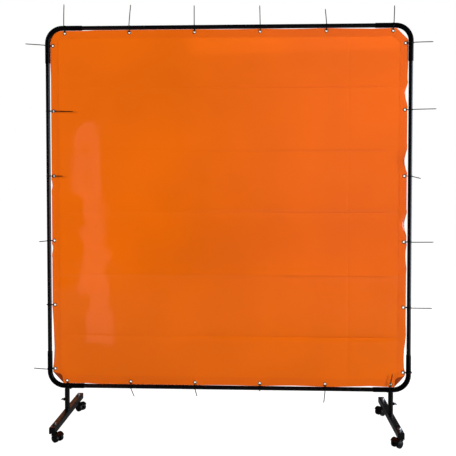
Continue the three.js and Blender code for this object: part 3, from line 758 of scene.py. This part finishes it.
def cable_tie(side, number, radius, slant):
    """One nylon tie: its band, its head with the slot that the tail comes out of, and the tail."""
    way, reach, drift = TAILS[side][number]
    reach, drift = reach * MM, drift * MM
    bm = bmesh.new()
    thick_ribbon(bm, band_line(radius), closed=True)
    seat = radius + TIE_GAP
    wide, deep, high = TIE_HEAD
    head = block(bm, (-wide / 2, -seat - deep, -high / 2), (wide / 2, -seat, high / 2), 0.7 * MM)
    mouth = block(bm, (-0.42 * wide, -seat - 0.92 * deep, high / 2 - 0.2 * MM),
                  (0.42 * wide, -seat - 0.22 * deep, high / 2 + 0.7 * MM), 0.3 * MM)
    tail = thick_ribbon(bm, tail_line(-seat - 0.6 * deep, reach), teeth=True, taper=True)
    turning = {
        "out": Matrix.Identity(4),
        "in": Matrix.Diagonal((1, 1, -1, 1)),
        "back": Matrix.Rotation(-TURN / 4, 4, "X"),
    }[way]
    bmesh.ops.transform(bm, matrix=turning, verts=head + mouth + tail)
    for v in tail:
        distance = v.co.y if way == "back" else abs(v.co.z)
        v.co.x += drift * distance / reach
    for v in bm.verts:
        v.co.x += slant * (v.co.z + TIE_PASS)
    half = HALF_HEIGHT if side in ("top", "bottom") else TUBE_X
    place = (Matrix.Translation((0, 0, MIDDLE_Z)) @ Matrix.Rotation(SIDES[side], 4, "Y")
             @ Matrix.Translation((GROMMET_PLACES[number], 0, half)))
    bmesh.ops.transform(bm, matrix=place, verts=bm.verts)
    name = f"tie_{side}_{number + 1}"
    return finish_piece(f"nylon_{name}", bm, TIE_NYLON, "frame", [name], sharp=40)


def cable_ties():
    for side in SIDES:
        for number, place in enumerate(GROMMET_PLACES):
            at_end = number in (0, GROMMETS_A_SIDE - 1)
            slant = -math.copysign(END_SLANT, place) if side == "bottom" and at_end else 0.0
            cable_tie(side, number, ELBOW_R if at_end else TUBE_R, slant)


# ---- Feet ----------------------------------------------------------------------------------------------

def foot_bars():
    """The feet's square tubes, open at the ends, with the round edges of folded and welded tube."""
    half = BAR_SIDE / 2
    for hand, sign in HANDS:
        bm = bmesh.new()
        block(bm, (-half, -BAR_HALF, BAR_LOW), (half, BAR_HALF, BAR_HIGH))
        long_edges = [e for e in bm.edges if abs(e.verts[0].co.y - e.verts[1].co.y) > BAR_HALF]
        ease_edges(bm, long_edges, BAR_ROUNDING, 4)
        ends = [f for f in bm.faces if abs(f.normal.y) > 0.9]
        bmesh.ops.delete(bm, geom=ends, context="FACES_ONLY")
        bmesh.ops.recalc_face_normals(bm, faces=bm.faces)
        bmesh.ops.solidify(bm, geom=bm.faces[:], thickness=BAR_WALL)
        bmesh.ops.transform(bm, matrix=at_foot(sign), verts=bm.verts)
        name = f"foot_bar_{hand}"
        finish_piece(f"foot_rail_{hand}", bm, POWDER, f"foot_{hand}", [name])


def end_caps():
    """Plastic caps: a low pillow face outside, and a ribbed plug inside the bar."""
    half = BAR_SIDE / 2
    plug = half - BAR_WALL - 0.3 * MM
    core = plug - 1 * MM
    middle_z = (BAR_LOW + BAR_HIGH) / 2
    for hand, sign in HANDS:
        for end, way in ENDS:
            bm = bmesh.new()
            block(bm, (-half, BAR_HALF + 0.2 * MM, BAR_LOW), (half, FOOT_HALF, BAR_HIGH), 1.3 * MM, 3)
            block(bm, (-core, BAR_HALF - 12 * MM, middle_z - core),
                  (core, BAR_HALF + 1 * MM, middle_z + core), 0.6 * MM)
            for rib in range(3):
                y = BAR_HALF - (2.5 + 3.5 * rib) * MM
                block(bm, (-plug, y - 0.8 * MM, middle_z - plug), (plug, y, middle_z + plug), 0.3 * MM, 1)
            bmesh.ops.transform(bm, matrix=at_foot(sign, half_turn=way < 0), verts=bm.verts)
            name = f"cap_{end}_{hand}"
            finish_piece(name, bm, CAP_PLASTIC, f"foot_{hand}", [f"end_{name}"])


def hex_prism(bm, flats, low, high, place):
    """A hexagon nut with the edges of its two faces eased."""
    corner = flats / math.sqrt(3)
    made = bmesh.ops.create_cone(
        bm, cap_ends=True, segments=6, radius1=corner, radius2=corner, depth=high - low)["verts"]
    bmesh.ops.translate(bm, vec=(0, 0, (low + high) / 2), verts=made)
    rims = list({e for v in made for e in v.link_edges if abs(e.verts[0].co.z - e.verts[1].co.z) < 1e-9})
    made = ease_edges(bm, rims, 0.7 * MM, 2, made)
    bmesh.ops.transform(bm, matrix=place, verts=made)


def thread_outline(radius, low, high, pitch, depth):
    """The outline of a threaded shank, as rings one pitch apart."""
    count = max(1, round((high - low) / pitch))
    step = (high - low) / count
    outline = [(0, low), (radius - depth, low)]
    for i in range(count):
        outline += [(radius, low + (i + 0.35) * step), (radius, low + (i + 0.6) * step),
                    (radius - depth, low + (i + 0.98) * step)]
    return outline + [(0, high)]


def leg_sockets():
    """Sockets for the legs, with the nut that the wing screw runs in welded to the outer side."""
    for hand, sign in HANDS:
        bm = bmesh.new()
        turned(bm, pipe_outline(SOCKET_R, SOCKET_WALL, SOCKET_LOW, SOCKET_HIGH, 0.5 * MM), 48, closed=True)
        hex_prism(bm, 13 * MM, SOCKET_R - 0.6 * MM, NUT_FACE, along("X", 0, 0, SCREW_Z))
        bmesh.ops.transform(bm, matrix=at_foot(sign, half_turn=sign < 0), verts=bm.verts)
        body = f"foot_{hand}"
        finish_piece(f"socket_{hand}", bm, POWDER, body, [f"leg_socket_{hand}"])
        centre = (sign * LEG_X, 0, BAR_HIGH + 0.5 * MM)
        weld_bead(f"socket_weld_{hand}", body, centre, SOCKET_R - 0.6 * MM, 1.7 * MM, lambda angle: 0.0)


def wing_screws():
    """Cold-forged wing screws: a round hub with two upswept wings, and a threaded shank."""
    start = NUT_FACE + 0.5 * MM
    axis = along("X", 0, 0, SCREW_Z)
    hub = in_mm([(0, 0), (4.4, 0), (5, 0.8), (4.6, 6), (3.6, 7.7), (0, 8)])
    wing = in_mm([
        (2.0, 3.0), (1.2, 5.5), (3.2, 9.0), (5.4, 11.8), (8.4, 13.0), (11.2, 12.4), (12.8, 10.2), (12.0, 7.6),
        (9.2, 5.8), (7.2, 3.6),
    ])
    for hand, sign in HANDS:
        bm = bmesh.new()
        turned(bm, thread_outline(3 * MM, LEG_R + 0.3 * MM, start + 1 * MM, 1 * MM, 0.5 * MM), 32, axis)
        turned(bm, hub, 40, along("X", start, 0, SCREW_Z))
        for way in (-1, 1):
            level = Matrix.Translation((start, 0, SCREW_Z)) @ Matrix.Rotation(way * TURN / 4, 4, "X")
            slab(bm, wing, -1.3 * MM, 1.3 * MM, 0.5 * MM, level)
        bmesh.ops.transform(bm, matrix=at_foot(sign, half_turn=sign < 0), verts=bm.verts)
        name = f"wing_screw_{hand}"
        finish_piece(f"winged_screw_{hand}", bm, ZINC, name, [name])


# ---- Casters: each is drawn trailing along +X from its swivel axis ------------------------------------

STUD_LOW, STUD_HIGH = (corner[2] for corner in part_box("caster_stud_rear_right"))
BOSS_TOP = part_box("caster_hood_rear_right")[1][2]
BRAKE_PIVOT = (WHEEL_R + 7.2 * MM, 28)  # from the axle, in metres and degrees


def around_axle(radius, degrees):
    """The place across an axle and above the floor, at a radius from the axle and an angle above level."""
    angle = math.radians(degrees)
    return TRAIL + radius * math.cos(angle), WHEEL_R + radius * math.sin(angle)


def caster_stud(body, end, hand, place):
    """The stem that the hood turns on, its flange, and the threaded shank with its washer and nut."""
    bm = bmesh.new()
    flange = BOSS_TOP + 0.3 * MM
    turned(bm, [(0, STUD_LOW), (3.5 * MM, STUD_LOW), (3.5 * MM, flange), (0, flange)], 32, place)
    disc = in_mm([(0, 0), (7.4, 0), (8, 0.5), (8, 1.7), (7.4, 2.2), (0, 2.2)])
    turned(bm, disc, 40, place @ Matrix.Translation((0, 0, flange)))
    turned(bm, thread_outline(5 * MM, flange + 2 * MM, STUD_HIGH, 1.5 * MM, 0.7 * MM), 32, place)
    washer = in_mm([(5.3, 0), (9.2, 0), (9.5, 0.3), (9.5, 1.1), (9.2, 1.4), (5.3, 1.4)])
    turned(bm, washer, 40, place @ Matrix.Translation((0, 0, BAR_HIGH + 0.05 * MM)), closed=True)
    hex_prism(bm, 17 * MM, BAR_HIGH + 1.5 * MM, BAR_HIGH + 7.3 * MM, place)
    name = f"caster_stud_{end}_{hand}"
    finish_piece(f"threaded_stud_{end}_{hand}", bm, ZINC, body, [name])


def wheels(end, hand, place):
    """Two nylon wheels on one axle, each with a rounded tread, a recessed face and a hub cap."""
    bm = bmesh.new()
    outline = in_mm([
        (3.0, 7.0), (16.4, 7.0), (18.8, 7.4), (19.7, 8.5), (20.0, 10.2), (20.0, 18.4), (19.6, 20.4),
        (18.5, 21.6), (17.0, 22.0), (16.0, 21.8), (15.4, 20.9), (14.9, 20.3), (9.8, 20.6), (9.2, 21.0),
        (8.7, 21.7), (7.0, 22.3), (3.2, 22.6), (0.0, 22.7),
    ])
    mirrored = [(r, -h) for r, h in reversed(outline)]
    turned(bm, mirrored + outline, 72, place @ along("Y", TRAIL, 0, WHEEL_R))
    name = f"wheels_{end}_{hand}"
    finish_piece(f"twin_{name}", bm, WHEEL_NYLON, name, [name], sharp=32)


def caster_hood(end, hand, place):
    """The moulded hood: a cover over the wheels, a web between them and the boss that the stem turns in."""
    bm = bmesh.new()
    inner, outer, half = WHEEL_R + 1.7 * MM, WHEEL_R + 4.2 * MM, 23 * MM
    cover = arc(TRAIL, WHEEL_R, outer, math.radians(30), math.radians(150), 24)
    under = arc(TRAIL, WHEEL_R, inner, math.radians(150), math.radians(30), 24)
    slab(bm, cover + under, -half, half, 0.8 * MM, place)
    web = arc(TRAIL, WHEEL_R, WHEEL_R + 2.8 * MM, math.radians(30), math.radians(150), 20)
    web += [(-7 * MM, WHEEL_R + 5 * MM)] + arc(TRAIL, WHEEL_R, 9 * MM, 1.25 * math.pi, TURN, 8)
    slab(bm, web, -5.5 * MM, 5.5 * MM, 0.6 * MM, place)
    boss = in_mm([(4.0, -9.0), (8.6, -9.0), (9.0, -8.4), (9.0, -0.9), (8.4, 0.0), (4.0, 0.0)])
    turned(bm, boss, 40, place @ Matrix.Translation((0, 0, BOSS_TOP)), closed=True)
    if end == "front":
        pivot_x, pivot_z = around_axle(*BRAKE_PIVOT)
        for way in (-1, 1):
            low, high = sorted((way * 9.8 * MM, way * 12.8 * MM))
            ear = [around_axle(WHEEL_R + 2.8 * MM, 31)]
            ear += arc(pivot_x, pivot_z, 3.4 * MM, -0.5 * math.pi, 0.4 * math.pi, 8)
            ear += [around_axle(WHEEL_R + 2.8 * MM, 46)]
            slab(bm, ear, low, high, 0.4 * MM, place)
    name = f"caster_hood_{end}_{hand}"
    finish_piece(f"moulded_hood_{end}_{hand}", bm, HOOD_NYLON, f"caster_{end}_{hand}", [name])


def brake_lever(hand, place):
    """The foot lever, with grip ribs across its pedal."""
    bm = bmesh.new()
    pivot_x, pivot_z = around_axle(*BRAKE_PIVOT)
    hinge = place @ Matrix.Translation((pivot_x, 0, pivot_z))
    pin = in_mm([(0, -12.7), (1.6, -12.7), (1.6, -8.5), (2.8, -8.5),
                 (2.8, 8.5), (1.6, 8.5), (1.6, 12.7), (0, 12.7)])
    turned(bm, pin, 24, hinge @ along("Y"))
    pedal = hinge @ Matrix.Rotation(-math.radians(30), 4, "Y")
    block(bm, (0, -8.5 * MM, -1.5 * MM), (14 * MM, 8.5 * MM, 1.5 * MM), 0.9 * MM, 3, pedal)
    for rib in range(3):
        x = (5.4 + 2.6 * rib) * MM
        block(bm, (x, -7 * MM, 1.2 * MM), (x + 1.2 * MM, 7 * MM, 2.1 * MM), 0.3 * MM, 1, pedal)
    name = f"brake_lever_{hand}"
    finish_piece(f"foot_{name}", bm, HOOD_NYLON, name, [name])


def casters():
    for hand, sign in HANDS:
        for end, way in ENDS:
            centre = Matrix.Translation((sign * LEG_X, way * CASTER_Y, 0))
            place = centre @ Matrix.Rotation(HEADING[hand], 4, "Z")
            caster_stud(f"foot_{hand}", end, hand, centre)
            caster_hood(end, hand, place)
            wheels(end, hand, place)
            if end == "front":
                brake_lever(hand, place)


# ---- Studio --------------------------------------------------------------------------------------------

def camera():
    """A camera a little right of the middle, at shoulder height, 3.4 m in front."""
    data = bpy.data.cameras.new("camera")
    data.lens = 53.9
    data.sensor_width = 36
    data.shift_y = -0.068
    data.clip_end = 60
    eye = bpy.data.objects.new("camera", data)
    scene.collection.objects.link(eye)
    turn = Matrix.Rotation(math.radians(2.455), 4, "Z") @ Matrix.Rotation(math.radians(90 - 1.768), 4, "X")
    eye.matrix_world = Matrix.Translation((0.1495, -3.4038, 1.2656)) @ turn
    scene.camera = eye


def softbox(name, place, aim, width, height, power, colour=(1, 1, 1), roll=0, shine=True, fill=True):
    """A rectangular light. It can be left out of the reflections, or light nothing but reflections."""
    data = bpy.data.lights.new(name, "AREA")
    data.shape = "RECTANGLE"
    data.size, data.size_y = width, height
    data.energy = power
    data.color = colour
    light = bpy.data.objects.new(name, data)
    scene.collection.objects.link(light)
    light.location = place
    facing = (Vector(aim) - Vector(place)).to_track_quat("-Z", "Y").to_matrix()
    light.rotation_euler = (facing @ Matrix.Rotation(math.radians(roll), 3, "Z")).to_euler()
    light.visible_camera = False
    light.visible_glossy = shine
    light.visible_diffuse = fill


def white_to_the_eye(tree, otherwise):
    """Full strength where the camera looks straight at it, and another strength as a light."""
    seen = add(tree, "ShaderNodeLightPath").outputs["Is Camera Ray"]
    strength = add(tree, "ShaderNodeMapRange", {"Value": seen, "To Min": otherwise, "To Max": 1.0})
    return strength.outputs["Result"]


def studio():
    """A plain white floor and backdrop, boxes that light it from three sides, and some for the gloss."""
    scene.view_settings.view_transform = "Standard"
    bm = bmesh.new()
    bmesh.ops.create_grid(bm, x_segments=1, y_segments=1, size=30)
    mesh = bpy.data.meshes.new("floor")
    bm.to_mesh(mesh)
    bm.free()
    floor = bpy.data.objects.new("floor", mesh)
    scene.collection.objects.link(floor)
    material, tree, shader = surface(
        "white_floor", Roughness=0.9, Base_Color=(0.12, 0.12, 0.12, 1), Emission_Color=(1, 1, 1, 1))
    tree.links.new(white_to_the_eye(tree, 0.0), shader.inputs["Emission Strength"])
    mesh.materials.append(material)
    world = bpy.data.worlds.new("studio")
    scene.world = world
    world.use_nodes = True
    tree = world.node_tree
    back = tree.nodes["Background"]
    back.inputs["Color"].default_value = (1, 1, 1, 1)
    tree.links.new(white_to_the_eye(tree, 0.04), back.inputs["Strength"])
    # The boxes that give the light.
    softbox("key", (-4.2, -3.4, 2.0), (0, 0, 1.1), 1.8, 2.2, 240, shine=False)
    softbox("fill", (4.2, -3.2, 1.7), (0, 0, 1.1), 1.8, 2.2, 268, shine=False)
    softbox("rear", (0.5, 3.4, 3.6), (0, 0, 1.2), 2.4, 2.4, 160, shine=False)
    # The ones for the gloss: a cool wall on the tubes' right, a strip in the film, and two on the feet.
    softbox("wall", (3.8, -0.2, 1.2), (0, -0.2, 1.2), 6.2, 2.6, 320, (0.80, 0.88, 1.0), fill=False)
    softbox("strip", (-0.917, -1.0, 0.87), (-0.917, 0, 0.87), 0.14, 1.40, 0.85, (1.0, 0.30, 0.28),
            roll=2.5, fill=False)
    softbox("ember", (-1.5, 2.4, 0.9), (-0.8, 0, 0.1), 0.9, 0.6, 1.2, (1.0, 0.32, 0.12), fill=False)
    softbox("back", (2.0, 2.4, 0.9), (0.8, 0, 0.1), 0.9, 0.6, 0.6, (1.0, 0.86, 0.78), fill=False)


camera()
studio()
frame_tubes()
elbows()
legs()
sheet = curtain_sheet()
hem = curtain_hem()
folds = corner_folds()
threads = stitching()
eyelets = grommets()
cable_ties()
foot_bars()
end_caps()
leg_sockets()
wing_screws()
casters()
